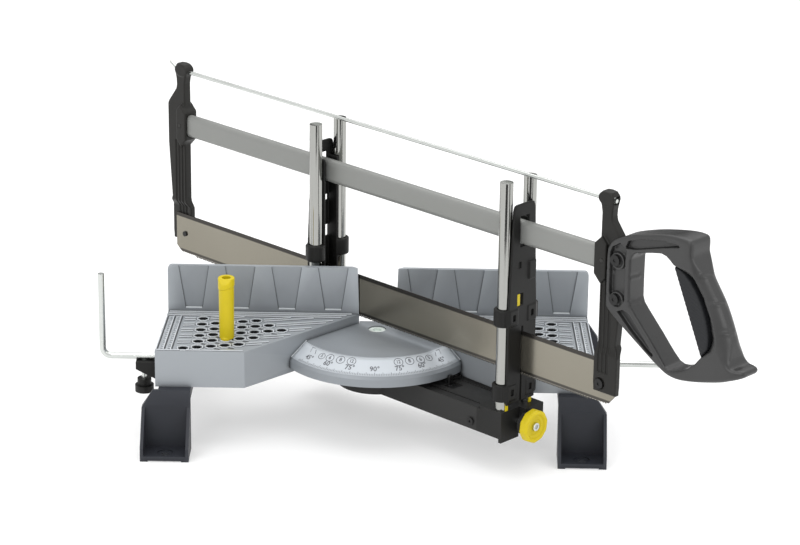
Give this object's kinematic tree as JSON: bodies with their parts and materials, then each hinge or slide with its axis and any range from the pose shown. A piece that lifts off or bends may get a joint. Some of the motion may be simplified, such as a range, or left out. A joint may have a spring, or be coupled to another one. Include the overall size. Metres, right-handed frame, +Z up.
{
  "type": "mitre saw",
  "caption": "Hand-operated precision mitre saw: framed blade sliding in post guides on a swinging arm, cast tables with fences, angle dial, cam peg and length stop.",
  "frame": {"origin": "on the bench, on the axis that the saw arm swings about, in the middle of the four bench bolt holes", "axes": "+X to the right along the fence, +Y back from the user through the fence, +Z up"},
  "size_m": [0.5914, 0.5123, 0.29],
  "materials": {
    "cast_alloy": "die-cast, satin grey",
    "satin_alloy": "drawn tube, satin",
    "black_paint": "satin black paint",
    "black_plastic": "moulded, fine texture",
    "grey_plastic": "moulded, dark grey",
    "yellow_plastic": "moulded, yellow",
    "soft_rubber": "soft grip, matt",
    "zinc_steel": "zinc plated",
    "chrome": "polished",
    "blade_steel": "ground strip with dark hardened teeth",
    "nylon": "natural"
  },
  "bodies": {
    "base": {"left_table": "cast_alloy", "right_table": "cast_alloy", "dial_plate": "cast_alloy", "cross_member": "black_paint", "bridge_screws": "zinc_steel", "left_foot": "black_plastic", "right_foot": "black_plastic", "foot_screws": "zinc_steel", "pivot_bolt": "zinc_steel", "pivot_washer": "zinc_steel", "pivot_nut": "zinc_steel", "stop_bracket": "black_plastic", "bracket_screw": "zinc_steel"},
    "peg": {"cam_peg": "yellow_plastic"},
    "length_stop": {"stop_rod": "zinc_steel"},
    "stop_screw": {"stop_stud": "zinc_steel", "stop_knob": "black_plastic"},
    "arm": {"arm_beam": "black_paint", "pivot_bush": "nylon", "thrust_washer": "nylon", "front_end_cap": "black_plastic", "rear_end_cap": "black_plastic", "cap_screws": "zinc_steel", "front_left_post": "chrome", "front_right_post": "chrome", "rear_left_post": "chrome", "rear_right_post": "chrome", "post_stops": "yellow_plastic", "detent_housing": "zinc_steel", "detent_spring": "zinc_steel", "detent_ball": "chrome", "lock_shoe": "zinc_steel"},
    "lock": {"lock_spindle": "zinc_steel", "lock_knob": "yellow_plastic", "knob_screw": "zinc_steel"},
    "guide_front": {"front_guide": "black_plastic"},
    "guide_rear": {"rear_guide": "black_plastic"},
    "catch": {"front_catch": "yellow_plastic"},
    "saw": {"rear_frame": "black_paint", "front_frame": "black_paint", "top_tube": "satin_alloy", "tube_pins": "zinc_steel", "tension_rod": "zinc_steel", "tension_plate": "zinc_steel", "saw_blade": "blade_steel", "blade_bolt": "black_paint", "blade_nut": "zinc_steel", "blade_hook": "zinc_steel", "handle": "grey_plastic", "grip_pad": "soft_rubber", "handle_screws": "black_paint", "handle_nuts": "zinc_steel"},
    "tension": {"tension_nut": "zinc_steel"}
  },
  "joints": [
    {"name": "peg_turn", "type": "hinge", "parent": "base", "child": "peg", "pos_m": [-0.138, -0.0573, 0.0947], "axis": [0, 0, 1], "continuous": true},
    {"name": "stop_slide", "type": "slide", "parent": "base", "child": "length_stop", "axis": [1, 0, 0], "range_m": [-0.18, 0.045]},
    {"name": "stop_screw_turn", "type": "hinge", "parent": "base", "child": "stop_screw", "pos_m": [-0.2163, -0.034, 0.05], "axis": [0, 0, 1], "continuous": true},
    {"name": "arm_swing", "type": "hinge", "parent": "base", "child": "arm", "pos_m": [0, 0, 0.05], "axis": [0, 0, 1], "range_deg": [-94, 0]},
    {"name": "lock_turn", "type": "hinge", "parent": "arm", "child": "lock", "pos_m": [0.14261, -0.13299, 0.047], "axis": [0.7314, -0.682, 0], "continuous": true},
    {"name": "saw_lift", "type": "slide", "parent": "arm", "child": "guide_front", "axis": [0, 0, 1], "range_m": [0, 0.11]},
    {"name": "rear_guide_lift", "type": "slide", "parent": "arm", "child": "guide_rear", "axis": [0, 0, 1], "range_m": [0, 0.11]},
    {"name": "catch_slide", "type": "slide", "parent": "guide_front", "child": "catch", "axis": [0.682, 0.7314, 0], "range_m": [0, 0.003], "stiffness_N_per_m": 300, "springref_m": -0.002},
    {"name": "saw_stroke", "type": "slide", "parent": "guide_front", "child": "saw", "axis": [0.7314, -0.682, 0], "range_m": [-0.07, 0.16]},
    {"name": "tension_turn", "type": "hinge", "parent": "saw", "child": "tension", "pos_m": [0.2026, -0.18893, 0.2818], "axis": [0.7314, -0.682, 0], "continuous": true}
  ],
  "couplings": [
    {"joint": "rear_guide_lift", "follows": "saw_lift", "ratio": 1}
  ]
}
